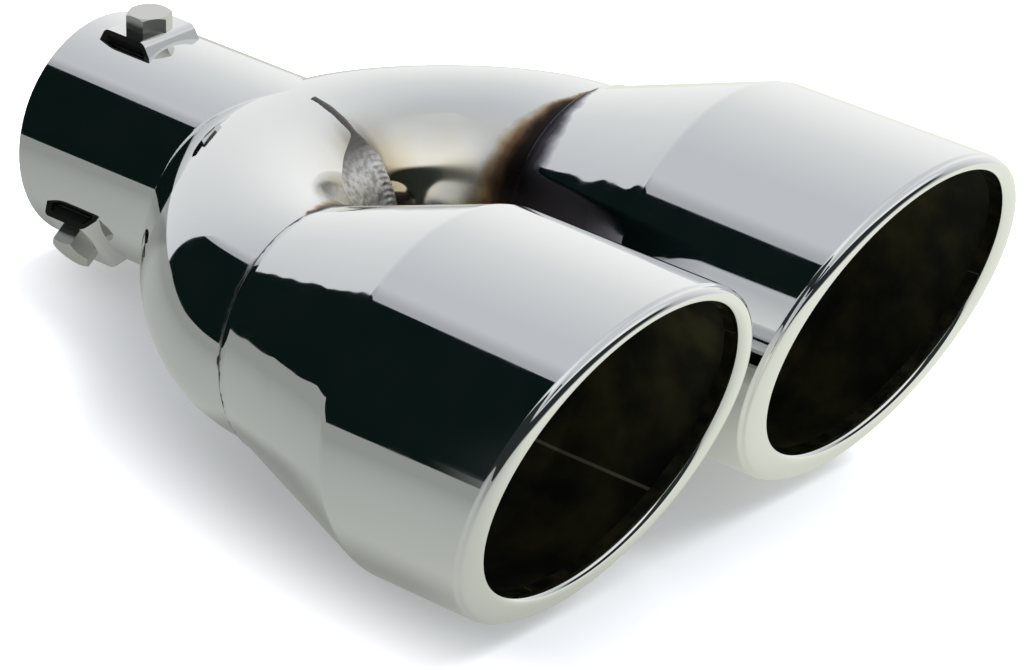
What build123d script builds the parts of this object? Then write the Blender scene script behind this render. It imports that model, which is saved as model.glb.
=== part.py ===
from build123d import *

import os
from math import asin, atan2, cos, degrees, radians, sin, sqrt, tan

# Twin-outlet exhaust tip of polished stainless steel, in millimetres.
# The inlet collar lies along Y with its open end at y = 0 and its bore on the Y axis.
# Behind it a U-shaped splitter turns the gas into two outlets that point to -Y,
# side by side along X. Their mouths are cut on a slant, with the top further forward.

# Inlet collar and its three lanced straps
COLLAR_OD = 57.15
COLLAR_WALL = 1.5
COLLAR_EDGE_ROUND = 0.5
STRAP_ANGLES = (90, 217, 323)
STRAP_CENTRE = 16.7
STRAP_WIDTH = 17.0
STRAP_FLAT = 13.0
STRAP_RISE = 2.2
STRAP_RAMP_ANGLE = 60.0
STRAP_BEND_ROUND = 0.8

# Clamp screws and the nut plates under the straps
SCREW_DIAMETER = 6.0
SCREW_HEAD_FLATS = 10.0
SCREW_HEAD_HEIGHT = 3.8
SCREW_HEAD_CHAMFER_ANGLE = 30.0
STRAP_HOLE_CLEARANCE = 0.3
NUT_HEIGHT = 2.0
NUT_CLEARANCE = 0.3
NUT_THREAD_CLEARANCE = 0.05

# Splitter: two 90 degree elbows, butt-welded at x = 0. The bends are flattened on the outside.
# The gas opening is a slight oval that stands back from the collar's bore.
COLLAR_TO_SPLITTER = 68.8
TUBE_STEP = 0.425
TUBE_WALL = 1.5
BEND_FLATTENING = 4.2
BEND_SECTIONS = 6
GAS_OPENING_SIDE_STEP = 0.9
GAS_OPENING_TOP_STEP = 0.2
SPIGOT_LENGTH = 6.0

# Outlets
OUTLET_OD = 88.9
OUTLET_GAP = 6.35
OUTLET_WALL = 1.2
NECK_CLEARANCE = 0.05
NECK_SETBACK = 1.3
NECK_SLEEVE = 1.0
NECK_ROUND = 4.0
FLARE_LENGTH = 44.0
CREASE_ROUND = 5.0
BARREL_LENGTH = 46.6
MOUTH_SLANT = 20.0
LIP_WIDTH = 6.1
LIP_ROUND = 3.4
LIP_INNER_ROUND = 1.5
LIP_RETURN = 3.0

# Welds
ROOT_GAP = 0.8
SADDLE_FILLET = 2.2
CROTCH_BEAD_WIDTH = 4.4
CROTCH_BEAD_HEIGHT = 0.8
CROTCH_BEAD_SINK = 0.6
CROTCH_BEAD_CLEARANCE = 0.4

# Sizes that follow from the ones above
collar_r = COLLAR_OD / 2
bore_r = collar_r - COLLAR_WALL
tube_r = collar_r + TUBE_STEP
tube_bore_r = tube_r - TUBE_WALL
outlet_r = OUTLET_OD / 2
mouth_bore_r = outlet_r - LIP_WIDTH
outlet_x = (OUTLET_OD + OUTLET_GAP) / 2
bend_radius = outlet_x
apex_y = -COLLAR_TO_SPLITTER
bend_y = apex_y - bend_radius
neck_r = tube_r + NECK_CLEARANCE + OUTLET_WALL
neck_y = bend_y - NECK_SETBACK
sleeve_y = neck_y - NECK_SLEEVE
crease_y = sleeve_y - FLARE_LENGTH
mouth_y = crease_y - BARREL_LENGTH
strap_top = collar_r + STRAP_RISE
slant = radians(MOUTH_SLANT)

os.makedirs("parts", exist_ok=True)


def strap_plane(angle):
    """Plane on the flat of the strap at this angle round the collar, facing outwards."""
    outward = (cos(radians(angle)), 0, sin(radians(angle)))
    centre = (strap_top * outward[0], -STRAP_CENTRE, strap_top * outward[2])
    return Plane(origin=centre, x_dir=(0, -1, 0), z_dir=outward)


def bend_solid(side, radius):
    """Solid 90 degree bend from x = 0 to one outlet, flattened on the outside, most at 45 degrees."""
    with BuildPart() as bend:
        for step in range(BEND_SECTIONS + 1):
            turn = radians(90 * step / BEND_SECTIONS)
            flattening = BEND_FLATTENING * sin(2 * turn) ** 2
            outward = Vector(side * sin(turn), cos(turn), 0)
            along = Vector(side * cos(turn), -sin(turn), 0)
            centre = Vector(0, bend_y, 0) + outward * (bend_radius - flattening / 2)
            with BuildSketch(Plane(origin=centre, x_dir=outward, z_dir=along)):
                Ellipse(radius - flattening / 2, radius)
        loft()
    return bend.part


def splitter_solid(radius):
    """Both bends as one solid."""
    with BuildPart() as solid:
        add(bend_solid(-1, radius))
        add(bend_solid(1, radius))
    return solid.part


splitter_outside = splitter_solid(tube_r)
collar_end_cut = splitter_solid(tube_r + ROOT_GAP)

# Inlet collar: a tube end, cut to the splitter's round back, with three straps pressed out of its wall.
# Each strap is a flat bridge with sloping ends. Its long sides are slit, so a nut plate slides in under it.
ramp = radians(STRAP_RAMP_ANGLE)
strap_foot = -(strap_top - bore_r) - COLLAR_WALL
foot_reach = STRAP_FLAT / 2 - strap_foot / tan(ramp)
tunnel_flat = STRAP_FLAT / 2 - COLLAR_WALL * tan(ramp / 2)
tunnel_reach = foot_reach - COLLAR_WALL / sin(ramp)

with BuildPart() as inlet_collar:
    with BuildSketch(Plane.XZ):
        Circle(collar_r)
    extrude(amount=COLLAR_TO_SPLITTER)
    fillet(edges().group_by(Axis.Y)[-1], radius=COLLAR_EDGE_ROUND)
    for strap_angle in STRAP_ANGLES:
        flat = strap_plane(strap_angle)
        side = Plane(origin=flat.origin, x_dir=flat.x_dir, z_dir=flat.x_dir.cross(flat.z_dir))
        with BuildSketch(side) as strap_outside:
            with BuildLine():
                Polyline(
                    (-foot_reach, strap_foot),
                    (-STRAP_FLAT / 2, 0),
                    (STRAP_FLAT / 2, 0),
                    (foot_reach, strap_foot),
                    close=True,
                )
            make_face()
            fillet(vertices().group_by(Axis.Y)[-1], radius=STRAP_BEND_ROUND + COLLAR_WALL)
        extrude(amount=STRAP_WIDTH / 2, both=True)
        with BuildSketch(side) as strap_tunnel:
            with BuildLine():
                Polyline(
                    (-tunnel_reach, strap_foot),
                    (-tunnel_flat, -COLLAR_WALL),
                    (tunnel_flat, -COLLAR_WALL),
                    (tunnel_reach, strap_foot),
                    close=True,
                )
            make_face()
            fillet(vertices().group_by(Axis.Y)[-1], radius=STRAP_BEND_ROUND)
        extrude(amount=STRAP_WIDTH / 2, both=True, mode=Mode.SUBTRACT)
        with BuildSketch(flat):
            Circle(SCREW_DIAMETER / 2 + STRAP_HOLE_CLEARANCE)
        extrude(amount=-2 * COLLAR_WALL, mode=Mode.SUBTRACT)
    with BuildSketch(Plane.XZ):
        Circle(bore_r)
    extrude(amount=COLLAR_TO_SPLITTER, mode=Mode.SUBTRACT)
    add(collar_end_cut, mode=Mode.SUBTRACT)

# Clamp screw: a hex head with a chamfered crown. Its short threaded shank ends flush with the nut plate.
shank_length = COLLAR_WALL + NUT_HEIGHT
head_corner_r = SCREW_HEAD_FLATS / sqrt(3)
crown_drop = (head_corner_r - SCREW_HEAD_FLATS / 2) * tan(radians(SCREW_HEAD_CHAMFER_ANGLE))

with BuildPart() as clamp_screw:
    with BuildSketch(Plane.XY):
        RegularPolygon(radius=SCREW_HEAD_FLATS / 2, side_count=6, major_radius=False)
    extrude(amount=SCREW_HEAD_HEIGHT)
    with BuildSketch(Plane.XZ):
        with BuildLine():
            Polyline(
                (0, 0),
                (head_corner_r, 0),
                (head_corner_r, SCREW_HEAD_HEIGHT - crown_drop),
                (SCREW_HEAD_FLATS / 2, SCREW_HEAD_HEIGHT),
                (0, SCREW_HEAD_HEIGHT),
                close=True,
            )
        make_face()
    revolve(axis=Axis.Z, mode=Mode.INTERSECT)
    with BuildSketch(Plane.XY):
        Circle(SCREW_DIAMETER / 2)
    extrude(amount=-shank_length)

with BuildPart() as clamp_screws:
    with Locations(*[strap_plane(strap_angle) for strap_angle in STRAP_ANGLES]):
        add(clamp_screw.part)

# Nut plates, held up against the underside of each strap. They nearly fill the tunnel, so they can't turn.
nut_length = 2 * (tunnel_flat - STRAP_BEND_ROUND * tan(ramp / 2) - NUT_CLEARANCE)
nut_width = STRAP_WIDTH - 2 * NUT_CLEARANCE

with BuildPart() as clamp_nut:
    with BuildSketch(Plane.XY.offset(-COLLAR_WALL)):
        Rectangle(nut_length, nut_width)
        Circle(SCREW_DIAMETER / 2 + NUT_THREAD_CLEARANCE, mode=Mode.SUBTRACT)
    extrude(amount=-NUT_HEIGHT)

with BuildPart() as clamp_nuts:
    with Locations(*[strap_plane(strap_angle) for strap_angle in STRAP_ANGLES]):
        add(clamp_nut.part)


def make_elbow(side):
    """One half of the splitter: a bent tube, a short spigot and half of the gas opening."""
    spigot_plane = Plane(origin=(side * outlet_x, bend_y, 0), x_dir=(1, 0, 0), z_dir=(0, -1, 0))
    outside = bend_solid(side, tube_r)
    inside = bend_solid(side, tube_bore_r)
    with BuildPart() as elbow:
        add(outside)
        with BuildSketch(spigot_plane):
            Circle(tube_r)
        extrude(amount=SPIGOT_LENGTH)
        add(inside, mode=Mode.SUBTRACT)
        with BuildSketch(spigot_plane):
            Circle(tube_bore_r)
        extrude(amount=SPIGOT_LENGTH, mode=Mode.SUBTRACT)
        with BuildSketch(Plane(origin=(0, apex_y, 0), x_dir=(1, 0, 0), z_dir=(0, 1, 0))):
            Ellipse(bore_r + GAS_OPENING_SIDE_STEP, bore_r + GAS_OPENING_TOP_STEP)
        extrude(amount=COLLAR_TO_SPLITTER, mode=Mode.SUBTRACT)
    return elbow


def outlet_blank(x, inset, edge_round):
    """Solid flared plug with a slash-cut, rounded front, set in from the outlet's outside by inset."""
    half_turn = atan2(outlet_r - neck_r, FLARE_LENGTH) / 2
    corner_shift = inset * tan(half_turn)
    axis_plane = Plane(origin=(x, 0, 0))
    front = Plane(origin=(x, mouth_y, 0), x_dir=(1, 0, 0), z_dir=(0, -cos(slant), -sin(slant)))
    blank_end = mouth_y - OUTLET_OD * tan(slant)
    with BuildPart() as blank:
        with BuildSketch(axis_plane):
            with BuildLine():
                Polyline(
                    (0, neck_y),
                    (neck_r - inset, neck_y),
                    (neck_r - inset, sleeve_y - corner_shift),
                    (outlet_r - inset, crease_y + corner_shift),
                    (outlet_r - inset, blank_end),
                    (0, blank_end),
                    close=True,
                )
            make_face()
            neck_side = sleeve_y + NECK_SLEEVE / 2
            corners = vertices().filter_by_position(Axis.Y, crease_y - OUTLET_WALL, neck_side)
            neck_corner, crease_corner = corners.sort_by(Axis.X)
            fillet(neck_corner, radius=NECK_ROUND + inset)
            fillet(crease_corner, radius=CREASE_ROUND - inset)
        revolve(axis=Axis((x, 0, 0), (0, 1, 0)))
        split(bisect_by=front.offset(-inset), keep=Keep.BOTTOM)
        fillet(edges().filter_by(GeomType.ELLIPSE), radius=edge_round)
    return blank.part


def make_outlet(side):
    """Flared shell with a slanted mouth whose edge rolls inwards and back."""
    x = side * outlet_x
    outside = outlet_blank(x, 0, LIP_ROUND)
    hollow = outlet_blank(x, OUTLET_WALL, LIP_ROUND - OUTLET_WALL)
    front = Plane(origin=(x, mouth_y, 0), x_dir=(1, 0, 0), z_dir=(0, -cos(slant), -sin(slant)))
    bore_plane = Plane(origin=(x, crease_y, 0), x_dir=(1, 0, 0), z_dir=(0, -1, 0))
    bore_length = BARREL_LENGTH + OUTLET_OD * tan(slant)
    with BuildPart() as lip_return:
        with BuildSketch(bore_plane):
            Circle(mouth_bore_r + OUTLET_WALL)
        extrude(amount=bore_length)
        split(bisect_by=front.offset(-OUTLET_WALL / 2), keep=Keep.BOTTOM)
        split(bisect_by=front.offset(-OUTLET_WALL - LIP_RETURN), keep=Keep.TOP)
    with BuildPart() as outlet:
        add(outside)
        add(hollow, mode=Mode.SUBTRACT)
        add(lip_return.part)
        with BuildSketch(bore_plane):
            Circle(mouth_bore_r)
        extrude(amount=bore_length, mode=Mode.SUBTRACT)
        rim = edges().filter_by(GeomType.ELLIPSE).sort_by(Axis((0, 0, 0), front.z_dir))[-1]
        fillet(rim, radius=LIP_INNER_ROUND)
    return outlet


elbow_left = make_elbow(-1)
elbow_right = make_elbow(1)
outlet_left = make_outlet(-1)
outlet_right = make_outlet(1)

# Saddle weld: it fills the root gap between the collar's end and the splitter, with a hollow fillet outside.
stub_start = STRAP_CENTRE + foot_reach
with BuildPart() as collar_weld:
    with BuildSketch(Plane.XZ.offset(stub_start)):
        Circle(collar_r)
    extrude(amount=COLLAR_TO_SPLITTER - stub_start)
    add(splitter_outside)
    fillet(edges(Select.NEW), radius=SADDLE_FILLET)
    with BuildSketch(Plane.XZ):
        Circle(bore_r)
    extrude(amount=COLLAR_TO_SPLITTER, mode=Mode.SUBTRACT)
    add(splitter_outside, mode=Mode.SUBTRACT)
    add(inlet_collar.part, mode=Mode.SUBTRACT)

# Crotch weld: a low bead round the seam between the elbows. It starts just clear of the saddle weld's
# tip on top, runs over the front of the crotch and ends at the tip underneath.
saddle_tip = sqrt(tube_r**2 - collar_r**2)
lap = asin((saddle_tip - CROTCH_BEAD_CLEARANCE) / tube_r)
seam_start = Plane(origin=(0, apex_y, 0), x_dir=(1, 0, 0), z_dir=(0, -cos(lap), sin(lap)))
with BuildPart() as crotch_weld:
    with BuildSketch(seam_start):
        with Locations((0, tube_r - CROTCH_BEAD_SINK)):
            Ellipse(CROTCH_BEAD_WIDTH / 2, CROTCH_BEAD_HEIGHT + CROTCH_BEAD_SINK)
    revolve(axis=Axis((0, apex_y, 0), (1, 0, 0)), revolution_arc=180 + 2 * degrees(lap))
    add(splitter_outside, mode=Mode.SUBTRACT)


def make_neck_weld(side):
    """Low round bead in the step between the elbow's spigot and the end of the outlet's neck."""
    x = side * outlet_x
    with BuildPart() as weld:
        with BuildSketch(Plane(origin=(x, 0, 0))):
            with BuildLine():
                Line((tube_r, bend_y), (tube_r, neck_y))
                Line((tube_r, neck_y), (neck_r, neck_y))
                RadiusArc((neck_r, neck_y), (tube_r, bend_y), -2 * NECK_SETBACK)
            make_face()
        revolve(axis=Axis((x, 0, 0), (0, 1, 0)))
    return weld


neck_weld_left = make_neck_weld(-1)
neck_weld_right = make_neck_weld(1)

pieces = {
    "inlet_collar": inlet_collar,
    "clamp_screws": clamp_screws,
    "clamp_nuts": clamp_nuts,
    "elbow_left": elbow_left,
    "elbow_right": elbow_right,
    "outlet_left": outlet_left,
    "outlet_right": outlet_right,
    "collar_weld": collar_weld,
    "crotch_weld": crotch_weld,
    "neck_weld_left": neck_weld_left,
    "neck_weld_right": neck_weld_right,
}
for name, piece in pieces.items():
    piece.part.label = name
    export_step(piece.part, f"parts/{name}.step")
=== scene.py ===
# %% [markdown]
# # Twin-outlet exhaust tip
# A clamp-on tail pipe trim of mirror-polished stainless steel: an inlet collar, a U-shaped
# splitter made of two elbows, and two flared outlets with slanted, rolled-in mouths. The packed
# model gives every size and place. This lesson gives it clean, dense shells that can carry a
# mirror finish, a real weld bead, and the studio that the mirror shows.

# %% Load the fixed frame
from math import atan2, cos, pi, radians, sin, sqrt, tan

import bpy
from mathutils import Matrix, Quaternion, Vector, noise


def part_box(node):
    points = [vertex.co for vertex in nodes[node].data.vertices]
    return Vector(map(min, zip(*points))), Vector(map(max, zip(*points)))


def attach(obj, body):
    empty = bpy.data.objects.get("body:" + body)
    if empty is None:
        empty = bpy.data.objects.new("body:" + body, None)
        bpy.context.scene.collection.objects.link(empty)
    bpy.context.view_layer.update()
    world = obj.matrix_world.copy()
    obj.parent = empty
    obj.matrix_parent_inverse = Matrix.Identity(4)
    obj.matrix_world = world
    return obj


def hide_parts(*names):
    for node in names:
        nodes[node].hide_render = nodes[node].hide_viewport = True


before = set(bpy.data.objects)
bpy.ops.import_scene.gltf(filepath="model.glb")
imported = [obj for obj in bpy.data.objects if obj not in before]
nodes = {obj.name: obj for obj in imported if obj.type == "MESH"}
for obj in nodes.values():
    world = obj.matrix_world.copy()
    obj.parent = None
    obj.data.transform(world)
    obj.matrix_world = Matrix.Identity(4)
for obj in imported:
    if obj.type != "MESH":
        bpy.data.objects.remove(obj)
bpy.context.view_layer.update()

MM = 0.001
print("nodes:", sorted(nodes))

# %% [markdown]
# ## Sizes
# The sizes could be typed in again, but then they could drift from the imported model. So nearly
# all are read off its nodes: a box gives an outlet's radius and axis, the elbows' tube radius
# and the bend's centre. Only what a box can't tell is typed in, in millimetres.

# %% Read the sizes off the frame
outlet_low, outlet_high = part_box("outlet_left")
elbow_low, elbow_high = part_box("elbow_left")
neck_low, neck_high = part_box("neck_weld_left")

outlet_x = (outlet_low.x + outlet_high.x) / 2
outlet_r = (outlet_high.x - outlet_low.x) / 2
neck_y = neck_low.y
neck_r = neck_high.z
tube_r = elbow_high.z
bend_radius = abs(outlet_x)
bend_y = neck_high.y
apex_y = bend_y + bend_radius
spigot_y = elbow_low.y

NECK_SLEEVE = 1.0 * MM
FLARE_LENGTH = 44.0 * MM
BARREL_LENGTH = 46.6 * MM

sleeve_y = neck_y - NECK_SLEEVE
crease_y = sleeve_y - FLARE_LENGTH
mouth_y = crease_y - BARREL_LENGTH
print("outlet radius", outlet_r, "tube radius", tube_r, "bend radius", bend_radius)

# %% [markdown]
# ## Colours and nodes
# Materials could be clicked together, but in a script one function is enough. It adds a node,
# applies its settings, and gives each live input, in order or by name, a plain value or another
# node's output. A second function turns a written sRGB colour into the linear values that
# Blender works with.

# %% Colour and node helpers
SOFT_STEP = {"interpolation_type": "SMOOTHSTEP"}
IN_COLOUR = {"data_type": "RGBA"}


def colour(hex_code):
    """Linear RGBA from an sRGB hex value such as "c8c9cb"."""
    channels = [int(hex_code[i : i + 2], 16) / 255 for i in (0, 2, 4)]
    return (*[c / 12.92 if c <= 0.04045 else ((c + 0.055) / 1.055) ** 2.4 for c in channels], 1)


def add_node(tree, kind, *values, named=None, stops=(), out=None, **settings):
    """Adds a node and gives its output of that name, or else its first live output."""
    node = tree.nodes.new("ShaderNode" + kind)
    for setting, value in settings.items():
        setattr(node, setting, value)
    for _ in stops[2:]:
        node.color_ramp.elements.new(0.5)
    for number, (position, shade) in enumerate(stops):
        node.color_ramp.elements[number].position = position
        node.color_ramp.elements[number].color = colour(shade)
    live = [socket for socket in node.inputs if socket.enabled]
    by_name = [(node.inputs[name], value) for name, value in (named or {}).items()]
    for socket, value in [*zip(live, values), *by_name]:
        if isinstance(value, bpy.types.NodeSocket):
            tree.links.new(value, socket)
        else:
            socket.default_value = value
    return node.outputs[out] if out else next((o for o in node.outputs if o.enabled), None)


def new_finish(name):
    """An empty material and its node tree."""
    finish = bpy.data.materials.new(name)
    finish.use_nodes = True
    finish.node_tree.nodes.clear()
    return finish, finish.node_tree


def place_parts(tree):
    """The point's place and its x, y and z. The x is measured away from the middle plane."""
    place = add_node(tree, "TexCoord", out="Object")
    parts = add_node(tree, "SeparateXYZ", place).node.outputs
    across = add_node(tree, "Math", parts["X"], operation="ABSOLUTE")
    return place, across, parts["Y"], parts["Z"]


print("helpers ready: red is", colour("ff0000"))

# %% [markdown]
# ## Polished stainless steel
# All the visible steel is one buffed sheet. A flat grey metal would look like plastic film,
# because real sheet is never quite flat: pressing leaves faint waves, and the buffing wheel a
# thin haze. So noise of a real size bends the mirror a little and varies its roughness.

# %% Mirror-polished stainless steel
BARE_STEEL = colour("e9eae9")
HAZE_SIZE = 9 * MM
WAVE_SIZE = 13 * MM
HAZE_SPAN = (0.3, 0.75)
CLEAR, HAZY = 0.025, 0.06
OXIDE_ROUGHNESS = 0.36


def buffed_roughness(tree, place):
    """Nearly clear, with thin patches of polishing haze."""
    haze = add_node(tree, "TexNoise", place, 1 / HAZE_SIZE, 4)
    return add_node(tree, "MapRange", haze, *HAZE_SPAN, CLEAR, HAZY, **SOFT_STEP)


def polished_stainless(name, wave_height, tint=None, wave_share=None):
    """Buffed sheet: a clear mirror with faint forming waves and, where given, heat tint and, on the
    outlets, a painted dark reflection.
    """
    finish, tree = new_finish(name)
    place, across, along, up = place_parts(tree)
    shade, roughness = BARE_STEEL, buffed_roughness(tree, place)
    waves = add_node(tree, "TexNoise", place, 1 / WAVE_SIZE, 1)
    if tint:
        shade, dull = tint(tree, place, across, along, up)
        dull = add_node(tree, "Math", dull, OXIDE_ROUGHNESS, operation="MULTIPLY")
        roughness = add_node(tree, "Math", roughness, dull, operation="ADD")
    if wave_share:
        waves = add_node(tree, "Math", waves, wave_share(tree, along), operation="MULTIPLY")
    bump = add_node(tree, "Bump", named={"Height": waves, "Strength": 1, "Distance": wave_height})
    steel = add_node(
        tree,
        "BsdfPrincipled",
        named={"Base Color": shade, "Metallic": 1, "Roughness": roughness, "Normal": bump},
    )
    add_node(tree, "OutputMaterial", steel)
    return finish


collar_steel = polished_stainless("polished_stainless_collar", 0.01 * MM)
print("finish:", collar_steel.name)

# %% [markdown]
# ## Heat tint
# Heat has coloured the steel near the welds: straw on the inner side of the bends, then brown,
# nearly black and violet-grey at the necks. Such oxide is duller than the mirror around it. It
# could be painted on a texture, but the tint follows the distance from the welds, so it is worked
# out from object coordinates and stays where the torch was on every view. On the right outlet, the
# dark rings are drawn far out along the side that faces the left one, as a painted dark reflection.

# %% Rings beside the neck welds
RAGGED_SIZE = 5 * MM
RAGGED_SHIFT = 4 * MM
LEAST_REACH = 0.8 * MM
CROTCH_SIDE = (-0.25 * tube_r, 0.9 * tube_r)
DULL_START = 0.25


def neck_tint(tree, place, across, along, stops, reach, dull_end):
    """The coloured rings beside a neck weld, widest towards the crotch, and how dull they are."""
    ragged = add_node(tree, "TexNoise", place, 1 / RAGGED_SIZE, 3)
    ragged = add_node(tree, "Math", ragged, 0.5, operation="SUBTRACT")
    shift = add_node(tree, "Math", ragged, RAGGED_SHIFT, operation="MULTIPLY")
    away = add_node(tree, "Math", along, (neck_y + bend_y) / 2, operation="SUBTRACT")
    away = add_node(tree, "Math", away, operation="ABSOLUTE")
    away = add_node(tree, "Math", away, shift, operation="ADD")
    inwards = add_node(tree, "Math", bend_radius, across, operation="SUBTRACT")
    width = add_node(tree, "MapRange", inwards, *CROTCH_SIDE, LEAST_REACH, reach, **SOFT_STEP)
    share = add_node(tree, "Math", away, width, operation="DIVIDE")
    rings = add_node(tree, "ValToRGB", share, stops=stops)
    return rings, add_node(tree, "MapRange", share, DULL_START, dull_end, 1, 0, **SOFT_STEP)


print("neck rings: their edge wanders by", RAGGED_SHIFT)


# %% Elbows: straw, browned strip and neck rings
ELBOW_TINT = (
    (0.0, "282425"),
    (0.32, "342c2b"),
    (0.46, "5c493d"),
    (0.64, "9c7e64"),
    (0.82, "d9c7ad"),
    (1.0, "ffffff"),
)
ELBOW_REACH = 11 * MM
ELBOW_DULL_END = 2.2
INNER_SIDE = (0.3 * tube_r, 0.95 * tube_r)
STRAW_PATCH = 16 * MM
STRAW_SPAN, STRAW_STRENGTH = (0.3, 0.7), (0.3, 0.8)
STRIP_RAGGED = 8 * MM
WELD_STRIPS = ((3 * MM, 12 * MM, 0.8, "b5a27c"), (1 * MM, 4 * MM, 0.85, "4a3d30"))


def elbow_tint(tree, place, across, along, up):
    """Straw on the inner side of the bend, a browned strip at the middle weld, the neck's rings."""
    ahead = add_node(tree, "Math", along, bend_y, operation="SUBTRACT")
    spoke = add_node(tree, "CombineXYZ", across, ahead)
    rho = add_node(tree, "VectorMath", spoke, operation="LENGTH")
    inwards = add_node(tree, "Math", bend_radius, rho, operation="SUBTRACT")
    inside = add_node(tree, "MapRange", inwards, *INNER_SIDE, **SOFT_STEP)
    patches = add_node(tree, "TexNoise", place, 1 / STRAW_PATCH, 2)
    strength = add_node(tree, "MapRange", patches, *STRAW_SPAN, *STRAW_STRENGTH, **SOFT_STEP)
    strength = add_node(tree, "Math", inside, strength, operation="MULTIPLY")
    shade = add_node(tree, "Mix", strength, BARE_STEEL, colour("ddd4ba"), **IN_COLOUR)
    ragged = add_node(tree, "Math", patches, 0.5, operation="SUBTRACT")
    ragged = add_node(tree, "Math", ragged, STRIP_RAGGED, operation="MULTIPLY")
    beside = add_node(tree, "Math", across, ragged, operation="ADD")
    for near, far, most, strip in WELD_STRIPS:
        strength = add_node(tree, "MapRange", beside, near, far, most, 0, **SOFT_STEP)
        strength = add_node(tree, "Math", strength, inside, operation="MULTIPLY")
        shade = add_node(tree, "Mix", strength, shade, colour(strip), **IN_COLOUR)
    rings, dull = neck_tint(tree, place, across, along, ELBOW_TINT, ELBOW_REACH, ELBOW_DULL_END)
    return add_node(tree, "Mix", 1, shade, rings, blend_type="MULTIPLY", **IN_COLOUR), dull


elbow_steel = polished_stainless("polished_stainless_elbow", 0.03 * MM, tint=elbow_tint)
print("finish:", elbow_steel.name)

# %% Outlets: violet-grey rings, painted dark reflection and pressing waves
OUTLET_TINT = (
    (0.0, "2a272c"),
    (0.42, "3d3a41"),
    (0.6, "726f78"),
    (0.78, "aeacb1"),
    (1.0, "e9eae9"),
)
OUTLET_REACH = 9 * MM
OUTLET_DULL_END = 0.75
DARK_REFLECTION_REACH = 70 * MM
DARK_REFLECTION_SIDE = (0.78, 0.88)
RIGHT_HALF = (0, 1 * MM)
FLARE_EDGE = (crease_y - 1 * MM, crease_y + 5 * MM)
BARREL_WAVES = 0.06


def outlet_tint(tree, place, across, along, up):
    """The ring beside the neck weld. Where the right flare faces the left one, the ring's dark
    colours reach far along it as a painted dark reflection.
    """
    inwards = add_node(tree, "Math", bend_radius, across, operation="SUBTRACT")
    spoke = add_node(tree, "CombineXYZ", inwards, 0, up)
    from_axis = add_node(tree, "VectorMath", spoke, operation="LENGTH")
    facing = add_node(tree, "Math", inwards, from_axis, operation="DIVIDE")
    facing = add_node(tree, "MapRange", facing, *DARK_REFLECTION_SIDE, **SOFT_STEP)
    to_right = add_node(tree, "SeparateXYZ", place, out="X")
    on_right = add_node(tree, "MapRange", to_right, *RIGHT_HALF, **SOFT_STEP)
    # Painted reflection: the right flare's side that faces the left one gets the dark ring colours
    # far out, for the dark band mirrored there.
    painted_reflection = add_node(tree, "Math", facing, on_right, operation="MULTIPLY")
    reach = add_node(tree, "MapRange", painted_reflection, 0, 1, OUTLET_REACH, DARK_REFLECTION_REACH, **SOFT_STEP)
    return neck_tint(tree, place, across, along, OUTLET_TINT, reach, OUTLET_DULL_END)


def flare_share(tree, along):
    """1 on the flare, which was pressed and shows its waves, and a little on the barrel."""
    return add_node(tree, "MapRange", along, *FLARE_EDGE, BARREL_WAVES, 1, **SOFT_STEP)


outlet_steel = polished_stainless(
    "polished_stainless_outlet", 0.16 * MM, tint=outlet_tint, wave_share=flare_share
)
print("finish:", outlet_steel.name)

# %% [markdown]
# ## Dark inner wall
# Inside, the tube lies in shade, so its wall is coloured a dull olive-black as painted shade. Plain
# black would look like a painted disc, so the colour varies in patches, which stand in for dim
# reflections. The tube's own weld seam shows as a thin lighter line. It stands up too little to
# model, so it is drawn by its angle.

# %% Dark inner wall
DIM_REFLECTION_PATCH = 14 * MM
DIM_REFLECTION_SPAN = (0.35, 0.75)
SHADED_WALL_ROUGHNESS = 0.55
SHADED_WALL_GLOSS = 0.15
SEAM_ANGLE = radians(-38)
SEAM_HALF = (0.006, 0.012)
SEAM_STRENGTH = 0.8


def dark_inner_wall(name, seam=False):
    """The inside: dull olive-black painted shade with patches of painted dim reflection, and a thin
    lighter weld seam where asked.
    """
    finish, tree = new_finish(name)
    place, across, along, up = place_parts(tree)
    # Painted shade and painted reflection: near black for the shade inside the tube, with lighter
    # olive patches for dim reflections.
    patches = add_node(tree, "TexNoise", place, 1 / DIM_REFLECTION_PATCH, 5)
    strength = add_node(tree, "MapRange", patches, *DIM_REFLECTION_SPAN, **SOFT_STEP)
    shade = add_node(tree, "Mix", strength, colour("23241d"), colour("45422a"), **IN_COLOUR)
    if seam:
        inwards = add_node(tree, "Math", bend_radius, across, operation="SUBTRACT")
        angle = add_node(tree, "Math", up, inwards, operation="ARCTAN2")
        beside = add_node(tree, "Math", angle, SEAM_ANGLE, operation="SUBTRACT")
        beside = add_node(tree, "Math", beside, operation="ABSOLUTE")
        line = add_node(tree, "MapRange", beside, *SEAM_HALF, SEAM_STRENGTH, 0, **SOFT_STEP)
        shade = add_node(tree, "Mix", line, shade, colour("8a8570"), **IN_COLOUR)
    dull = {"Base Color": shade, "Roughness": SHADED_WALL_ROUGHNESS, "Specular IOR Level": SHADED_WALL_GLOSS}
    scale = add_node(tree, "BsdfPrincipled", named=dull)
    add_node(tree, "OutputMaterial", scale)
    return finish


outlet_inside = dark_inner_wall("dark_inner_wall_outlet", seam=True)
elbow_inside = dark_inner_wall("dark_inner_wall_elbow")
print("finishes:", outlet_inside.name, elbow_inside.name)

# %% [markdown]
# ## Modelling by operators
# Every operator acts on what is selected, so each piece starts from an empty selection. Points
# are then chosen in code, by where they are, where a hand would click on them.

# %% Modelling helpers
TOUCHING = 0.001 * MM


def start_piece():
    """Leaves edit mode and selects nothing."""
    if bpy.context.object and bpy.context.object.mode != "OBJECT":
        bpy.ops.object.mode_set(mode="OBJECT")
    bpy.ops.object.select_all(action="DESELECT")


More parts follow.
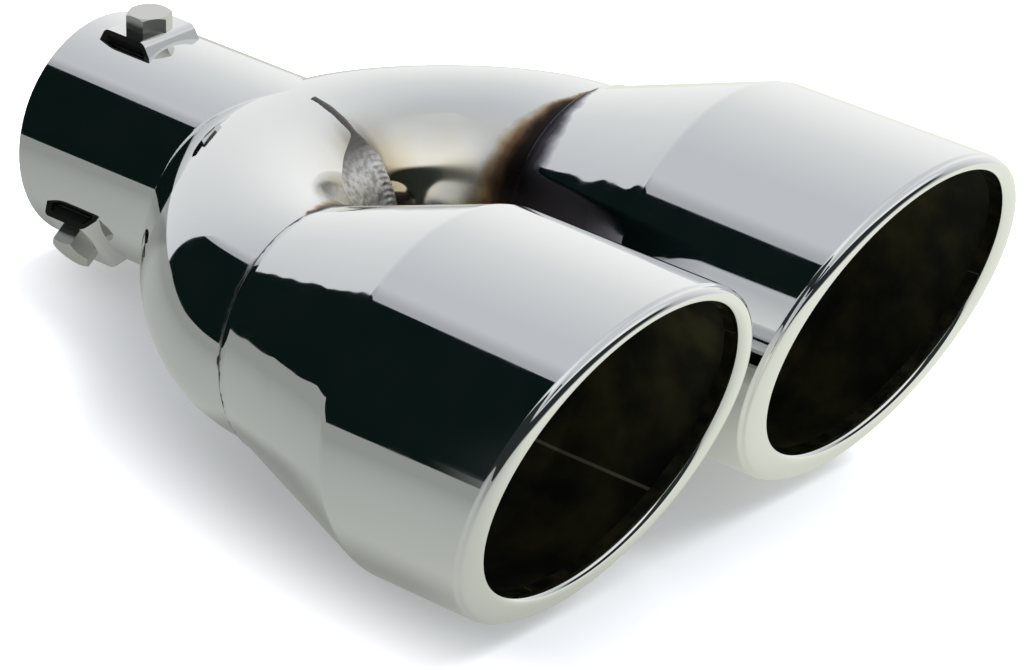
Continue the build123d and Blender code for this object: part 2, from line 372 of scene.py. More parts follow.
def choose_points(piece, wanted):
    """In edit mode, selects the points whose place passes the test."""
    bpy.ops.mesh.select_mode(type="VERT")
    bpy.ops.mesh.select_all(action="DESELECT")
    bpy.ops.object.mode_set(mode="OBJECT")
    for point in piece.data.vertices:
        point.select = wanted(point.co)
    bpy.ops.object.mode_set(mode="EDIT")


def tidy_shell():
    """In edit mode, merges doubles and turns all faces outwards."""
    bpy.ops.mesh.select_all(action="SELECT")
    bpy.ops.mesh.remove_doubles(threshold=TOUCHING)
    bpy.ops.mesh.normals_make_consistent(inside=False)


def take_up(piece):
    """Selects this piece alone and makes it the active one."""
    start_piece()
    piece.select_set(True)
    bpy.context.view_layer.objects.active = piece


def settle(name, *finishes):
    """Names the new primitive, puts its place in its mesh and gives it its finishes."""
    piece = bpy.context.object
    piece.name = piece.data.name = name
    bpy.ops.object.transform_apply(location=True, rotation=True, scale=True)
    for finish in finishes:
        piece.data.materials.append(finish)
    return piece


print("modelling helpers ready: doubles merge within", TOUCHING)


# %% [markdown]
# ## Outlet
# The real one is a tube that was swaged: a conical flare that starts at the weld, a crease and
# a barrel. It could be cut from stacked cones, but their edges would show in the mirror. So
# half a section is drawn, its two corners are rounded, and it is spun about the outlet's axis.
# The barrel is then cut on the slant.

# %% Outlet: profile, spin and slanted cut
AROUND = 224
CORNER_STEPS = 8
NECK_ROUND = 4.0 * MM
CREASE_ROUND = 5.0 * MM
MOUTH_SLANT = radians(20)
LIP_SETBACK = 0.6 * MM
LIP_ROUND = 3.6 * MM
NEAR = 0.01 * MM

flare_angle = atan2(outlet_r - neck_r, FLARE_LENGTH)
crest_y = mouth_y + LIP_SETBACK
cut_y = crest_y + LIP_ROUND


def turn_outlet():
    """The outside of the left outlet as one sheet, with its slanted edge left selected."""
    start_piece()
    bpy.ops.mesh.primitive_plane_add(size=2 * MM, location=(outlet_x, neck_y, neck_r))
    outlet = settle("polished_outlet_left", outlet_steel, outlet_inside)
    bpy.ops.object.mode_set(mode="EDIT")
    bpy.ops.mesh.select_all(action="SELECT")
    bpy.ops.mesh.merge(type="CENTER")
    reach = outlet_r * tan(MOUTH_SLANT) + LIP_ROUND
    steps = (
        (0, sleeve_y - neck_y, 0),
        (0, crease_y - sleeve_y, outlet_r - neck_r),
        (0, mouth_y - crease_y - reach, 0),
    )
    for step in steps:
        bpy.ops.mesh.extrude_region_move(TRANSFORM_OT_translate={"value": step})
    for corner_y, corner_round in ((sleeve_y, NECK_ROUND), (crease_y, CREASE_ROUND)):
        choose_points(outlet, lambda co: abs(co.y - corner_y) < NEAR)
        offset = corner_round * tan(flare_angle / 2)
        bpy.ops.mesh.bevel(offset=offset, segments=CORNER_STEPS, affect="VERTICES")
    bpy.ops.mesh.select_all(action="SELECT")
    bpy.ops.mesh.spin(steps=AROUND, angle=2 * pi, center=(outlet_x, 0, 0), axis=(0, 1, 0))
    tidy_shell()
    bpy.ops.mesh.bisect(
        plane_co=(outlet_x, cut_y, 0),
        plane_no=(0, -cos(MOUTH_SLANT), -sin(MOUTH_SLANT)),
        clear_outer=True,
    )
    return outlet


outlet_left = turn_outlet()
print("outlet sheet:", len(outlet_left.data.vertices), "points before the lip")

# %% [markdown]
# ## Lip
# The mouth's edge is rolled inwards and back, with a fine groove behind the roll. The roll
# comes out narrow at the sharp top and wide at the blunt foot, so the opening sits a little
# high. A bevel would make an even lip, so the cut edge is extruded in rings instead, and each
# ring is laid on the roll's section.

# %% Outlet: lip
LIP_WIDTH = 6.2 * MM
LIP_LIFT = 2.3 * MM
LIP_CREST = 0.71
LIP_INNER_ROUND = 2.4 * MM
LIP_RETURN = 3.0 * MM
LIP_GROOVE = 0.3 * MM
LIP_RINGS = 36
RING_STEP = 1 * MM
GROOVE_END, RISE_END, FALL_END = 0.22, 0.55, 0.9


def lip_point(around, ring):
    """A point of the roll: from the barrel over the crest, round the inner edge and back inside."""
    share = ring / LIP_RINGS
    rise = min(share / RISE_END, 1) * pi / 2
    fall = min(max((share - RISE_END) / (FALL_END - RISE_END), 0), 1) * pi / 2
    back = max((share - FALL_END) / (1 - FALL_END), 0)
    groove = LIP_GROOVE * sin(min(share / GROOVE_END, 1) * pi) ** 2
    spoke = Vector((cos(around), 0, sin(around)))
    outer = spoke * (outlet_r - groove)
    inner = spoke * (outlet_r - LIP_WIDTH) + Vector((0, 0, LIP_LIFT))
    inward = LIP_CREST * (1 - cos(rise)) + (1 - LIP_CREST) * sin(fall)
    behind = LIP_ROUND * (1 - sin(rise)) + LIP_INNER_ROUND * (1 - cos(fall)) + LIP_RETURN * back
    place = outer.lerp(inner, inward)
    return place.x + outlet_x, crest_y - tan(MOUTH_SLANT) * place.z + behind, place.z


def roll_lip(outlet):
    """Draws the cut edge forward in rings and lays each ring on the roll."""
    for _ in range(LIP_RINGS):
        bpy.ops.mesh.extrude_edges_move(TRANSFORM_OT_translate={"value": (0, -RING_STEP, 0)})
    bpy.ops.object.mode_set(mode="OBJECT")
    for point in outlet.data.vertices:
        edge_y = cut_y - tan(MOUTH_SLANT) * point.co.z
        ring = round((edge_y - point.co.y) / RING_STEP)
        if ring > 0:
            point.co = lip_point(atan2(point.co.z, point.co.x - outlet_x), ring)
    bpy.ops.object.mode_set(mode="EDIT")
    tidy_shell()
    bpy.ops.object.mode_set(mode="OBJECT")


roll_lip(outlet_left)
print("outlet sheet:", len(outlet_left.data.vertices), "points with the lip")

# %% [markdown]
# ## Wall, twin and shading
# Solidify gives the sheet its wall, with the dark finish of painted shade on the inner side. The
# right outlet is the left one mirrored, with a mesh of its own. In a mirror, smooth shading shows
# every uneven normal, so the large faces set the normals and long walls stay straight in
# reflections.

# %% Outlet: wall, twin and shading
OUTLET_WALL = 1.2 * MM
SHARP_ANGLE = radians(40)


def apply_modifier(piece, kind, **settings):
    """Adds one modifier with its settings and applies it."""
    bpy.context.view_layer.objects.active = piece
    modifier = piece.modifiers.new(kind.lower(), kind)
    for setting, value in settings.items():
        setattr(modifier, setting, value)
    bpy.ops.object.modifier_apply(modifier=modifier.name)


def give_wall(piece, thickness):
    """Thickens the sheet inwards, and puts the second finish on the inner side."""
    apply_modifier(
        piece, "SOLIDIFY", thickness=thickness, offset=-1, use_even_offset=True, material_offset=1
    )


def mirror_copy(piece, name):
    """A copy on the other side of the plane x = 0, with a mesh of its own."""
    take_up(piece)
    bpy.ops.object.duplicate()
    twin = bpy.context.object
    twin.name = twin.data.name = name
    bpy.ops.object.mode_set(mode="EDIT")
    bpy.ops.mesh.select_all(action="SELECT")
    bpy.ops.transform.resize(value=(-1, 1, 1), center_override=(0, 0, 0))
    bpy.ops.mesh.flip_normals()
    bpy.ops.object.mode_set(mode="OBJECT")
    return twin


def smooth_mirror_shading(piece):
    """Smooth shading in which the large faces set the normals."""
    take_up(piece)
    bpy.ops.object.shade_smooth_by_angle(angle=SHARP_ANGLE)
    apply_modifier(piece, "WEIGHTED_NORMAL", mode="FACE_AREA", weight=100, keep_sharp=True)


def finish_piece(piece, node):
    """Shades a piece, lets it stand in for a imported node, fixed to the one body."""
    smooth_mirror_shading(piece)
    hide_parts(node)
    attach(piece, "root")


give_wall(outlet_left, OUTLET_WALL)
outlet_right = mirror_copy(outlet_left, "polished_outlet_right")
finish_piece(outlet_left, "outlet_left")
finish_piece(outlet_right, "outlet_right")
print("outlet:", len(outlet_left.data.polygons), "faces")

# %% [markdown]
# ## Elbows
# Each is a quarter of a bent tube. Bending stretches the outer wall, so it settles inwards and
# the tube goes slightly oval, most of all at half the bend. A curve with a bevel would stay
# round. So a circle is spun through 90 degrees about the bend's centre, and each point is then
# drawn in towards that centre by the amount the wall settled.

# %% Elbow: spin, flatten, spigot and wall
TUBE_AROUND = 192
BEND_STEPS = 72
BEND_FLATTENING = 4.2 * MM
TUBE_WALL = 1.5 * MM


def settled(rho, turn):
    """How far the bent wall has settled inwards, this far from the bend's centre."""
    share = (rho - bend_radius + tube_r) / (2 * tube_r)
    return BEND_FLATTENING * sin(2 * turn) ** 2 * share


def tube_circle(around):
    """Adds a circle of the tube's size on the middle plane, around the bend's apex."""
    start_piece()
    bpy.ops.mesh.primitive_circle_add(
        vertices=around, radius=tube_r, location=(0, apex_y, 0), rotation=(0, radians(90), 0)
    )


def bend_elbow():
    """The left elbow with its spigot, as a shell with the dark finish inside."""
    tube_circle(TUBE_AROUND)
    elbow = settle("polished_elbow_left", elbow_steel, elbow_inside)
    bpy.ops.object.mode_set(mode="EDIT")
    bpy.ops.mesh.select_all(action="SELECT")
    bpy.ops.mesh.spin(steps=BEND_STEPS, angle=radians(-90), center=(0, bend_y, 0), axis=(0, 0, 1))
    bpy.ops.object.mode_set(mode="OBJECT")
    for point in elbow.data.vertices:
        away = Vector((point.co.x, point.co.y - bend_y, 0))
        point.co -= away.normalized() * settled(away.length, atan2(-away.x, away.y))
    bpy.ops.object.mode_set(mode="EDIT")
    choose_points(elbow, lambda co: abs(co.y - bend_y) < TOUCHING)
    bpy.ops.mesh.extrude_edges_move(TRANSFORM_OT_translate={"value": (0, spigot_y - bend_y, 0)})
    tidy_shell()
    bpy.ops.object.mode_set(mode="OBJECT")
    give_wall(elbow, TUBE_WALL)
    return elbow


elbow_left = bend_elbow()
print("elbow:", len(elbow_left.data.polygons), "faces before the gas opening")

# %% [markdown]
# ## Gas opening
# The gas comes in from the collar through an oval hole at the back of the splitter. It is
# hardly seen, but without it the splitter would be shut. A cutter in the shape of the oval and
# a Boolean make it, half of it in each elbow.

# %% Gas opening
OPENING_AROUND = 160
OPENING_HALF_WIDTH = 27.975 * MM
OPENING_HALF_HEIGHT = 27.275 * MM

start_piece()
bpy.ops.mesh.primitive_cylinder_add(
    vertices=OPENING_AROUND,
    radius=1,
    depth=-apex_y,
    location=(0, apex_y / 2, 0),
    rotation=(radians(90), 0, 0),
)
opening_cutter = bpy.context.object
opening_cutter.scale = (OPENING_HALF_WIDTH, OPENING_HALF_HEIGHT, 1)
bpy.ops.object.transform_apply(location=True, rotation=True, scale=True)
apply_modifier(
    elbow_left, "BOOLEAN", object=opening_cutter, operation="DIFFERENCE", solver="EXACT"
)
bpy.data.objects.remove(opening_cutter)
elbow_right = mirror_copy(elbow_left, "polished_elbow_right")
finish_piece(elbow_left, "elbow_left")
finish_piece(elbow_right, "elbow_right")
print("elbow:", len(elbow_left.data.polygons), "faces with the gas opening")

# %% [markdown]
# ## Weld metal
# Weld metal sets with a fine grain and small pits. It breaks the mirror up into sparkles, where
# plain grey would look like putty. Noise of the pits' size drives both the shade and a shallow
# bump.

# %% Weld metal
PIT_SIZE = 1.6 * MM
PIT_DEPTH = 0.25 * MM
PIT_STRENGTH = 0.45
GRAIN_SPAN = (0.35, 0.6)
SCORCHED_ABOVE = (17 * MM, 23 * MM)


def weld_metal(name, bright, dark, roughness, scorched=None):
    """Dull grey metal with small dark pits. It can be scorched high up and low down."""
    finish, tree = new_finish(name)
    place, across, along, up = place_parts(tree)
    grain = add_node(tree, "TexNoise", place, 1 / PIT_SIZE, 4)
    clean = add_node(tree, "MapRange", grain, *GRAIN_SPAN, **SOFT_STEP)
    shade = add_node(tree, "Mix", clean, colour(dark), colour(bright), **IN_COLOUR)
    if scorched:
        height = add_node(tree, "Math", up, operation="ABSOLUTE")
        burnt = add_node(tree, "MapRange", height, *SCORCHED_ABOVE, **SOFT_STEP)
        shade = add_node(tree, "Mix", burnt, shade, colour(scorched), **IN_COLOUR)
    pits = {"Height": grain, "Strength": PIT_STRENGTH, "Distance": PIT_DEPTH}
    bump = add_node(tree, "Bump", named=pits)
    metal = add_node(
        tree,
        "BsdfPrincipled",
        named={"Base Color": shade, "Metallic": 1, "Roughness": roughness, "Normal": bump},
    )
    add_node(tree, "OutputMaterial", metal)
    return finish


crotch_metal = weld_metal("weld_metal_crotch", "f0f0ee", "c0bdb7", 0.42, scorched="6d6965")
neck_metal = weld_metal("weld_metal_neck", "554f50", "1f1b1c", 0.3)
print("finishes:", crotch_metal.name, neck_metal.name)

# %% [markdown]
# ## Crotch weld
# The two elbows are joined along the middle plane. The bead is narrow and dark by the collar
# and spreads into a rough silver patch on the left elbow in the crotch, where the torch could
# hardly reach. A bump would leave it flat, so a strip of the bend's own surface is spun, and
# each point is lifted by the bead's rounded height, its ripples and some noise.

# %% Crotch bead: its shape
BEAD_SUNK = 0.15 * MM
BEAD_WIDTH = 1.2 * MM
BEAD_HEIGHT = 0.55 * MM
PATCH_WIDTH = 19 * MM
PATCH_DROP = 0.2 * MM
PATCH_FROM = (0.36, 0.6)
PATCH_ON_RIGHT = 0.1
UNEVEN_RUN = 4 * MM
UNEVEN_SEED = 7
UNEVEN_SHARE = 0.25
ROUND_CREST, FLAT_PATCH = 2, 5
LUMP_SIZE = 2.2 * MM
LUMP_HEIGHT, PATCH_LUMP_DROP = 0.12 * MM, 0.03 * MM
RIPPLE_RUN, RIPPLE_BOW, RIPPLE_HEIGHT = 1.5 * MM, 1.2 * MM, 0.08 * MM


def soft_step(value, low, high):
    """0 below low, 1 above high, smooth in between."""
    share = min(max((value - low) / (high - low), 0), 1)
    return share * share * (3 - 2 * share)


def bead_point(share, around):
    """A point of the bead: share is -1 to 1 across it, around is the angle about the tube."""
    front = 1 - abs(abs(around) - pi) / (pi / 2)
    spread = soft_step(front, *PATCH_FROM) * (1 if share < 0 else PATCH_ON_RIGHT)
    run = around * tube_r
    uneven = noise.noise(Vector((run / UNEVEN_RUN, UNEVEN_SEED, 0)))
    width = (BEAD_WIDTH + PATCH_WIDTH * spread) * (1 + UNEVEN_SHARE * uneven)
    lump = noise.noise(Vector((run, share * width, 0)) / LUMP_SIZE)
    height = BEAD_HEIGHT - PATCH_DROP * spread + (LUMP_HEIGHT - PATCH_LUMP_DROP * spread) * lump
    crest = (1 - abs(share) ** (ROUND_CREST + FLAT_PATCH * spread)) * height
    wave = cos(2 * pi * (run - RIPPLE_BOW * share**2) / RIPPLE_RUN)
    ripple = (1 - share**2) * (1 - spread) * RIPPLE_HEIGHT * wave
    lift = crest + ripple - BEAD_SUNK
    rho = bend_radius + tube_r * cos(around)
    turn = share * width / rho
    rho += lift * cos(around) - settled(rho, turn)
    return rho * sin(turn), bend_y + rho * cos(turn), (tube_r + lift) * sin(around)


print("bead at the front:", bead_point(0, pi))

# %% Crotch bead: laid
BEAD_AROUND = 600
BEAD_ARC = radians(30)
BEAD_STEPS = 48
BEAD_SKIN = 0.4 * MM
BEAD_END = 3 * MM


def lay_bead():
    """The bead on the middle plane, from the top over the front to the bottom."""
    tube_circle(BEAD_AROUND)
    bead = settle("crotch_weld_bead", crotch_metal)
    bpy.ops.object.mode_set(mode="EDIT")
    choose_points(bead, lambda co: co.y > apex_y - BEAD_END)
    bpy.ops.mesh.delete(type="VERT")
    bpy.ops.mesh.select_all(action="SELECT")
    bpy.ops.mesh.spin(steps=BEAD_STEPS, angle=BEAD_ARC, center=(0, bend_y, 0), axis=(0, 0, 1))
    tidy_shell()
    bpy.ops.object.mode_set(mode="OBJECT")
    for point in bead.data.vertices:
        away = Vector((point.co.x, point.co.y - bend_y, 0))
        share = 2 * atan2(away.x, away.y) / BEAD_ARC - 1
        around = atan2(point.co.z, away.length - bend_radius)
        point.co = bead_point(share, around)
    apply_modifier(bead, "SOLIDIFY", thickness=BEAD_SKIN, offset=-1)
    return bead


crotch_bead = lay_bead()
finish_piece(crotch_bead, "crotch_weld")
print("crotch bead:", len(crotch_bead.data.polygons), "faces")

# %% [markdown]
# ## Collar, straps, screws and the other welds
# These imported nodes are dense enough to keep, so they only need finishes. The collar is polished
# outside, and its inside gets a dull near-black finish as painted shade. Two materials would need
# its faces to be sorted, and a imported mesh stays as it is, so a mask by facing does it. The
# straps were sheared free, and their cut edges get the same painted shade, so the slits look dark.

# %% Collar finish
LOOKS_IN = (-0.35, -0.25)
LOOKS_SIDEWAYS = (0.6, 0.8)


def collar_finish():
    """Polished outside; near-black painted shade on the inner side and on the straps' cut edges."""
    finish, tree = new_finish("polished_stainless_collar_bored")
    place, across, along, up = place_parts(tree)
    outward = add_node(tree, "CombineXYZ", add_node(tree, "SeparateXYZ", place, out="X"), 0, up)
    outward = add_node(tree, "VectorMath", outward, operation="NORMALIZE")
    sideways = add_node(tree, "VectorMath", outward, (0, 1, 0), operation="CROSS_PRODUCT")
    facing = add_node(tree, "NewGeometry", out="Normal")
    looks_out = add_node(tree, "VectorMath", facing, outward, operation="DOT_PRODUCT")
    inner = add_node(tree, "MapRange", looks_out, *LOOKS_IN, 1, 0, **SOFT_STEP)
    looks_sideways = add_node(tree, "VectorMath", facing, sideways, operation="DOT_PRODUCT")
    looks_sideways = add_node(tree, "Math", looks_sideways, operation="ABSOLUTE")
    cut_edge_shade = add_node(tree, "MapRange", looks_sideways, *LOOKS_SIDEWAYS, **SOFT_STEP)
    # Painted shade: the bore and the straps' cut edges take the near-black dull shader, for the
    # shade inside the collar and in the slits.
    dark = add_node(tree, "Math", inner, cut_edge_shade, operation="MAXIMUM")
    bright = {"Base Color": BARE_STEEL, "Metallic": 1, "Roughness": buffed_roughness(tree, place)}
    steel = add_node(tree, "BsdfPrincipled", named=bright)
    dull = {
        "Base Color": colour("191915"),
        "Roughness": SHADED_WALL_ROUGHNESS,
        "Specular IOR Level": SHADED_WALL_GLOSS,
    }
    scale = add_node(tree, "BsdfPrincipled", named=dull)
    add_node(tree, "OutputMaterial", add_node(tree, "MixShader", dark, steel, scale))
    return finish


def plated_fastener(name, shade, roughness):
    """A plated steel part, whose highlights are softer than the mirror around it."""
    finish, tree = new_finish(name)
    plating = {"Base Color": colour(shade), "Metallic": 1, "Roughness": roughness}
    add_node(tree, "OutputMaterial", add_node(tree, "BsdfPrincipled", named=plating))
    return finish


for node, finish in (
    ("inlet_collar", collar_finish()),
    ("collar_weld", collar_steel),
    ("neck_weld_left", neck_metal),
    ("neck_weld_right", neck_metal),
    ("clamp_screws", plated_fastener("zinc_plated_steel", "d3d3cd", 0.28)),
):
    nodes[node].data.materials.clear()
    nodes[node].data.materials.append(finish)
    print(node, "gets", finish.name)

# %% [markdown]
# ## Nut plates
# Under each strap sits a nut plate, coloured near black as painted shade for the slit. It fills the
# slit, so that no light shows through. The imported plates have a flat foot. A copy of them is
# merged, and its foot is drawn out under the strap's ramps and laid on the curve of the bore, which
# the pipe inside needs as well.

# %% Nut plates with a curved foot
STRAP_ANGLES = (90, 217, 323)
NUT_FOOT_SPREAD = 1.9 * MM

strap_spokes = [Vector((cos(radians(a)), 0, sin(radians(a)))) for a in STRAP_ANGLES]
plate_low, plate_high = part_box("clamp_nuts")
plates = bpy.data.objects.new("nut_plates", nodes["clamp_nuts"].data.copy())
plates.data.name = "nut_plates"
bpy.context.scene.collection.objects.link(plates)
take_up(plates)
bpy.ops.object.mode_set(mode="EDIT")
tidy_shell()
bpy.ops.object.mode_set(mode="OBJECT")
foot_r = min(point.co.z for point in plates.data.vertices if point.co.z > 0)
for point in plates.data.vertices:
    spoke = max(strap_spokes, key=point.co.dot)
    height = point.co.dot(spoke)
    if height < foot_r + NEAR:
        beside = Vector((point.co.x, 0, point.co.z)) - spoke * height
        point.co += spoke * (sqrt(foot_r**2 - beside.length_squared) - height)
        if point.co.y < plate_low.y + NEAR:
            point.co.y -= NUT_FOOT_SPREAD
        if point.co.y > plate_high.y - NEAR:
            point.co.y += NUT_FOOT_SPREAD
plates.data.materials.clear()
# Painted shade: the plates' near-black colour stands in for the shade in the slits.
plates.data.materials.append(plated_fastener("slit_shade_plating", "2a2a29", 0.45))
finish_piece(plates, "clamp_nuts")
print("nut plates: foot radius", foot_r, "faces", len(plates.data.polygons))

# %% [markdown]
# ## Studio
# A mirror shows the room, so the room is what gives this object its look. Lamps alone would
# leave it grey with a few spots. So the world is a pale sweep that is brightest on the right,
# and the end of the room behind the camera is dark, with a light band above it. All this is for
# mirrored rays alone: seen straight, the room is white.

# %% World: the pale sweep
SWEEP = (
    (0.2, "cdd0d6"),
    (0.42, "d6d9dd"),
    (0.71, "e6e8ea"),
    (0.82, "f0f1f2"),
    (0.91, "f8f9f9"),
    (1.0, "ffffff"),
)
BACK_LIGHT = (
    (0.0, "a8aba8"),
    (0.3, "adb0af"),
    (0.38, "ffffff"),
    (0.5, "fdfdfe"),
    (0.67, "e6e8ea"),
    (0.85, "d6d9dd"),
)
BRIGHT_SIDE = radians(65)
BACK_LIGHT_SIDE = radians(-165)
BACK_SPAN = (0, 0.9)

world = bpy.data.worlds.new("white_studio")
bpy.context.scene.world = world
world.use_nodes = True
tree = world.node_tree
tree.nodes.clear()
heading = add_node(tree, "SeparateXYZ", add_node(tree, "TexCoord", out="Generated")).node.outputs
elevation = add_node(tree, "Math", heading["Z"], operation="ARCSINE")
level = add_node(tree, "CombineXYZ", heading["X"], heading["Y"])
level = add_node(tree, "VectorMath", level, operation="NORMALIZE")


def level_share(side):
    """How far a ray's level heading points to this side, from -1 to 1."""
    return add_node(tree, "VectorMath", level, (sin(side), cos(side), 0), operation="DOT_PRODUCT")


flatness = add_node(tree, "Math", elevation, operation="COSINE")
to_bright = add_node(tree, "Math", level_share(BRIGHT_SIDE), flatness, operation="MULTIPLY")
sweep = add_node(tree, "ValToRGB", to_bright, stops=SWEEP)
climb = add_node(tree, "Math", elevation, pi / 2, operation="DIVIDE")
back_light = add_node(tree, "ValToRGB", climb, stops=BACK_LIGHT)
at_back = add_node(tree, "MapRange", level_share(BACK_LIGHT_SIDE), *BACK_SPAN, **SOFT_STEP)
room = add_node(tree, "Mix", at_back, sweep, back_light, **IN_COLOUR)
print("world:", len(tree.nodes), "nodes in the pale sweep")

# %% World: the dark end, and what each ray sees
DARK_END_SIDE = radians(-131)
DARK_END_HEIGHT = radians(11)
DARK_END_HALF = (radians(90), radians(24))
DARK_END_EDGE = (0.8, 1.25)
DARK_END_CORNER = 3
FILL = (0.62, 0.63, 0.65, 1)
WHITE = (1, 1, 1, 1)

towards = level_share(DARK_END_SIDE)
sideways = level_share(DARK_END_SIDE + pi / 2)
beside = add_node(tree, "Math", sideways, towards, operation="ARCTAN2")
above = add_node(tree, "Math", elevation, DARK_END_HEIGHT, operation="SUBTRACT")
from_end = 0.0
for angle, half in zip((beside, above), DARK_END_HALF):
    share = add_node(tree, "Math", angle, half, operation="DIVIDE")
    share = add_node(tree, "Math", share, operation="ABSOLUTE")
    share = add_node(tree, "Math", share, DARK_END_CORNER, operation="POWER")
    from_end = add_node(tree, "Math", share, from_end, operation="ADD")
outside = add_node(tree, "MapRange", from_end, *DARK_END_EDGE, **SOFT_STEP)
room = add_node(tree, "Mix", outside, colour("2a302f"), room, **IN_COLOUR)
path = add_node(tree, "LightPath").node.outputs
mirrored = add_node(tree, "Mix", path["Is Glossy Ray"], FILL, room, **IN_COLOUR)
straight = add_node(
    tree, "Math", path["Is Camera Ray"], path["Is Transmission Ray"], operation="MAXIMUM"
)
seen = add_node(tree, "Mix", straight, mirrored, WHITE, **IN_COLOUR)
add_node(tree, "OutputWorld", add_node(tree, "Background", seen, 1))
print("world:", len(tree.nodes), "nodes with the dark end")

# %% [markdown]
# ## Dark card
# The crisp black bands along the tubes are the edges of one dark card close by on the left. In
# the world it would be infinitely far, and the bands would not taper as they do, so it is a
# real plane. Only mirrored rays see it, and its top and near end are soft.

# %% Dark card
CARD_SIDE = radians(-74.5)
CARD_DISTANCE = 196 * MM
CARD_END = 426 * MM
CARD_LENGTH = 612 * MM
CARD_TOP = 277 * MM
CARD_FOOT = -17 * MM
CARD_EDGE = 2 * MM
CARD_HAZE = 120 * MM
CARD_HAZE_SHARE = 0.3
CARD_SOFT_END = 40 * MM

card_start = CARD_END - CARD_LENGTH
towards_card = Vector((sin(CARD_SIDE), cos(CARD_SIDE), 0))
along_card = Vector((cos(CARD_SIDE), -sin(CARD_SIDE), 0))
start_piece()
bpy.ops.mesh.primitive_plane_add(size=1)
card = bpy.context.object
card.name = card.data.name = "dark_card"
for point in card.data.vertices:
    run = CARD_END if point.co.x > 0 else card_start
    height = CARD_TOP + CARD_HAZE if point.co.y > 0 else CARD_FOOT
    point.co = towards_card * CARD_DISTANCE + along_card * run + Vector((0, 0, height))

velvet, tree = new_finish("dark_velvet")
place, across, along, up = place_parts(tree)
top_edge = (CARD_TOP - CARD_EDGE, CARD_TOP + CARD_EDGE, 1, 0)
below_top = add_node(tree, "MapRange", up, *top_edge, **SOFT_STEP)
haze_span = (CARD_TOP, CARD_TOP + CARD_HAZE, CARD_HAZE_SHARE, 0)
haze = add_node(tree, "MapRange", up, *haze_span, **SOFT_STEP)
cover = add_node(tree, "Math", below_top, haze, operation="MAXIMUM")
on_card = add_node(tree, "VectorMath", place, along_card, operation="DOT_PRODUCT")
soft_end = add_node(tree, "MapRange", on_card, card_start, card_start + CARD_SOFT_END, **SOFT_STEP)
cover = add_node(tree, "Math", cover, soft_end, operation="MULTIPLY")
black = add_node(tree, "Emission", colour("0c1716"), 1)
clear = add_node(tree, "BsdfTransparent")
add_node(tree, "OutputMaterial", add_node(tree, "MixShader", cover, clear, black))
card.data.materials.append(velvet)
card.visible_camera = card.visible_diffuse = card.visible_shadow = False
print("card:", CARD_LENGTH, "long, up to", CARD_TOP)

# %% [markdown]
# ## Floor
# The object rests on its two barrels and the collar's rim, so the floor is tilted to meet them.
# Lit paper alone would render grey, so the paper glows white for the camera, except around the
# object, where it keeps the shadow. In the mirror the paper glows as a painted reflection, darker
# towards the back as painted shade and under the object as a painted shadow.

# %% Floor: place and shadow
REST_TILT = radians(5.57)
FLOOR_RADIUS = 450 * MM
FLOOR_AROUND = 128
FLOOR_DROP = 28.7 * MM
SHADOW_MIDDLE = (0, -48 * MM, 0)
SHADOW_SIZE = (62 * MM, 122 * MM, 1)
SHADOW_EDGE = (0.95, 1.75)
SHADOW_GLOW = 0.18

start_piece()
bpy.ops.mesh.primitive_circle_add(vertices=FLOOR_AROUND, radius=FLOOR_RADIUS, fill_type="NGON")
floor = bpy.context.object
floor.name = floor.data.name = "pale_floor"
floor.rotation_euler = (REST_TILT, 0, 0)
floor.location = (0, mouth_y / 2, -FLOOR_DROP + tan(REST_TILT) * mouth_y / 2)

paper, tree = new_finish("pale_paper")
place = add_node(tree, "TexCoord", out="Object")
path = add_node(tree, "LightPath").node.outputs
from_middle = add_node(tree, "VectorMath", place, SHADOW_MIDDLE, operation="SUBTRACT")
from_middle = add_node(tree, "VectorMath", from_middle, SHADOW_SIZE, operation="DIVIDE")
from_middle = add_node(tree, "VectorMath", from_middle, operation="LENGTH")
fade = add_node(tree, "MapRange", from_middle, *SHADOW_EDGE, SHADOW_GLOW, 1, **SOFT_STEP)
white = add_node(tree, "CombineXYZ", fade, fade, fade)
print("floor:", FLOOR_RADIUS, "in radius, tilted by", REST_TILT)

# %% Floor: in the mirror
FLOOR_MIRRORED = (
    (0.0, "8f928f"),
    (0.23, "a9acaa"),
    (0.6, "c7cac1"),
    (0.75, "dee1d5"),
    (1.0, "ebede1"),
)
FRONT = (0.8, -0.6, 0)
FRONT_SPAN = (-180 * MM, 150 * MM)
WAIST = (-10 * MM, 55 * MM, 88 * MM, 26 * MM)
UNDER_EDGE = (-14 * MM, 8 * MM)
UNDER_FROM = (-104 * MM, -58 * MM)
MIRRORED_SHADOW_SHARE = 0.46

# Painted reflection: for mirrored rays the paper glows by itself in these colours, lighter towards
# the front right and darker towards the back left as painted shade.
to_front = add_node(tree, "VectorMath", place, FRONT, operation="DOT_PRODUCT")
to_front = add_node(tree, "MapRange", to_front, *FRONT_SPAN)
in_mirror = add_node(tree, "ValToRGB", to_front, stops=FLOOR_MIRRORED)
# Painted shadow: under the object the mirrored glow is darkened towards 3f4241.
on_floor = add_node(tree, "SeparateXYZ", place).node.outputs
half_width = add_node(tree, "MapRange", on_floor["Y"], *WAIST, **SOFT_STEP)
beside = add_node(tree, "Math", on_floor["X"], operation="ABSOLUTE")
beside = add_node(tree, "Math", beside, half_width, operation="SUBTRACT")
within = add_node(tree, "MapRange", beside, *UNDER_EDGE, 1, 0, **SOFT_STEP)
behind = add_node(tree, "MapRange", on_floor["Y"], *UNDER_FROM, 0, MIRRORED_SHADOW_SHARE, **SOFT_STEP)
mirrored_shadow = add_node(tree, "Math", within, behind, operation="MULTIPLY")
in_mirror = add_node(tree, "Mix", mirrored_shadow, in_mirror, colour("3f4241"), **IN_COLOUR)

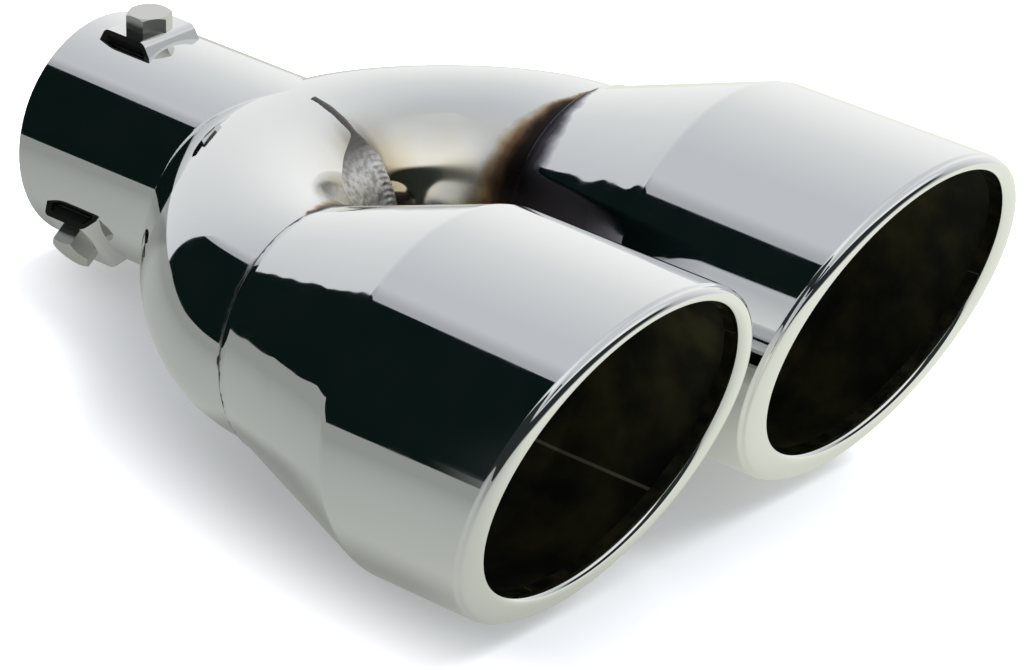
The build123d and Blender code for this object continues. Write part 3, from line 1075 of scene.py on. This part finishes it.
glossy = path["Is Glossy Ray"]
glow = add_node(tree, "Mix", glossy, (0, 0, 0, 1), in_mirror, **IN_COLOUR)
glow = add_node(tree, "Mix", path["Is Camera Ray"], glow, white, **IN_COLOUR)
# For mirrored rays the paper's own colour is nearly black, so its lit shading adds little to the
# painted reflection.
sheet = add_node(tree, "Mix", glossy, colour("f1f3f8"), colour("30312f"), **IN_COLOUR)
surface = add_node(
    tree,
    "BsdfPrincipled",
    named={
        "Base Color": sheet,
        "Roughness": 0.7,
        "Specular IOR Level": 0.1,
        "Emission Color": glow,
        "Emission Strength": 1,
    },
)
add_node(tree, "OutputMaterial", surface)
floor.data.materials.append(paper)
print("paper:", len(tree.nodes), "nodes")

# %% [markdown]
# ## Lamp
# One large soft lamp from the back right gives the floor its shadow on the near left side.
# Mirrored, it would be a white square, so mirrored rays don't see it.

# %% Lamp
LAMP_SIDE, LAMP_HEIGHT = radians(112), radians(50)
LAMP_DISTANCE = 1.4
LAMP_SIZE = 1.1
LAMP_WATTS = 30

lamp_data = bpy.data.lights.new("key_softbox", "AREA")
lamp_data.size = LAMP_SIZE
lamp_data.energy = LAMP_WATTS
lamp = bpy.data.objects.new("key_softbox", lamp_data)
level_out = cos(LAMP_HEIGHT)
away = Vector((sin(LAMP_SIDE) * level_out, cos(LAMP_SIDE) * level_out, sin(LAMP_HEIGHT)))
lamp.location = Vector((0, mouth_y / 2, 0)) + away * LAMP_DISTANCE
lamp.rotation_mode = "QUATERNION"
lamp.rotation_quaternion = away.to_track_quat("Z", "Y")
lamp.visible_glossy = False
bpy.context.scene.collection.objects.link(lamp)
print("lamp at", tuple(lamp.location))

# %% [markdown]
# ## Camera
# The camera stands where the photograph's did: its place, aim, roll and lens were fitted to the
# rims, the necks and the collar. A hand-placed camera would come close, but the bands need the
# exact view.

# %% Camera
CAMERA_PLACE = Vector((-857.7, -896.0, 554.3)) * MM
CAMERA_AIM = Vector((9.33, -127.8, -17.49)) * MM
CAMERA_ROLL = radians(1.26)
CAMERA_LENS = 193.35

camera_data = bpy.data.cameras.new("camera")
camera_data.sensor_width = 36
camera_data.lens = CAMERA_LENS
camera_data.clip_start, camera_data.clip_end = 0.05, 20
camera = bpy.data.objects.new("camera", camera_data)
camera.location = CAMERA_PLACE
camera.rotation_mode = "QUATERNION"
aim = (CAMERA_PLACE - CAMERA_AIM).to_track_quat("Z", "Y")
camera.rotation_quaternion = aim @ Quaternion((0, 0, 1), CAMERA_ROLL)
bpy.context.scene.collection.objects.link(camera)
bpy.context.scene.camera = camera
bpy.context.scene.view_settings.view_transform = "Standard"
print("camera lens", camera_data.lens)
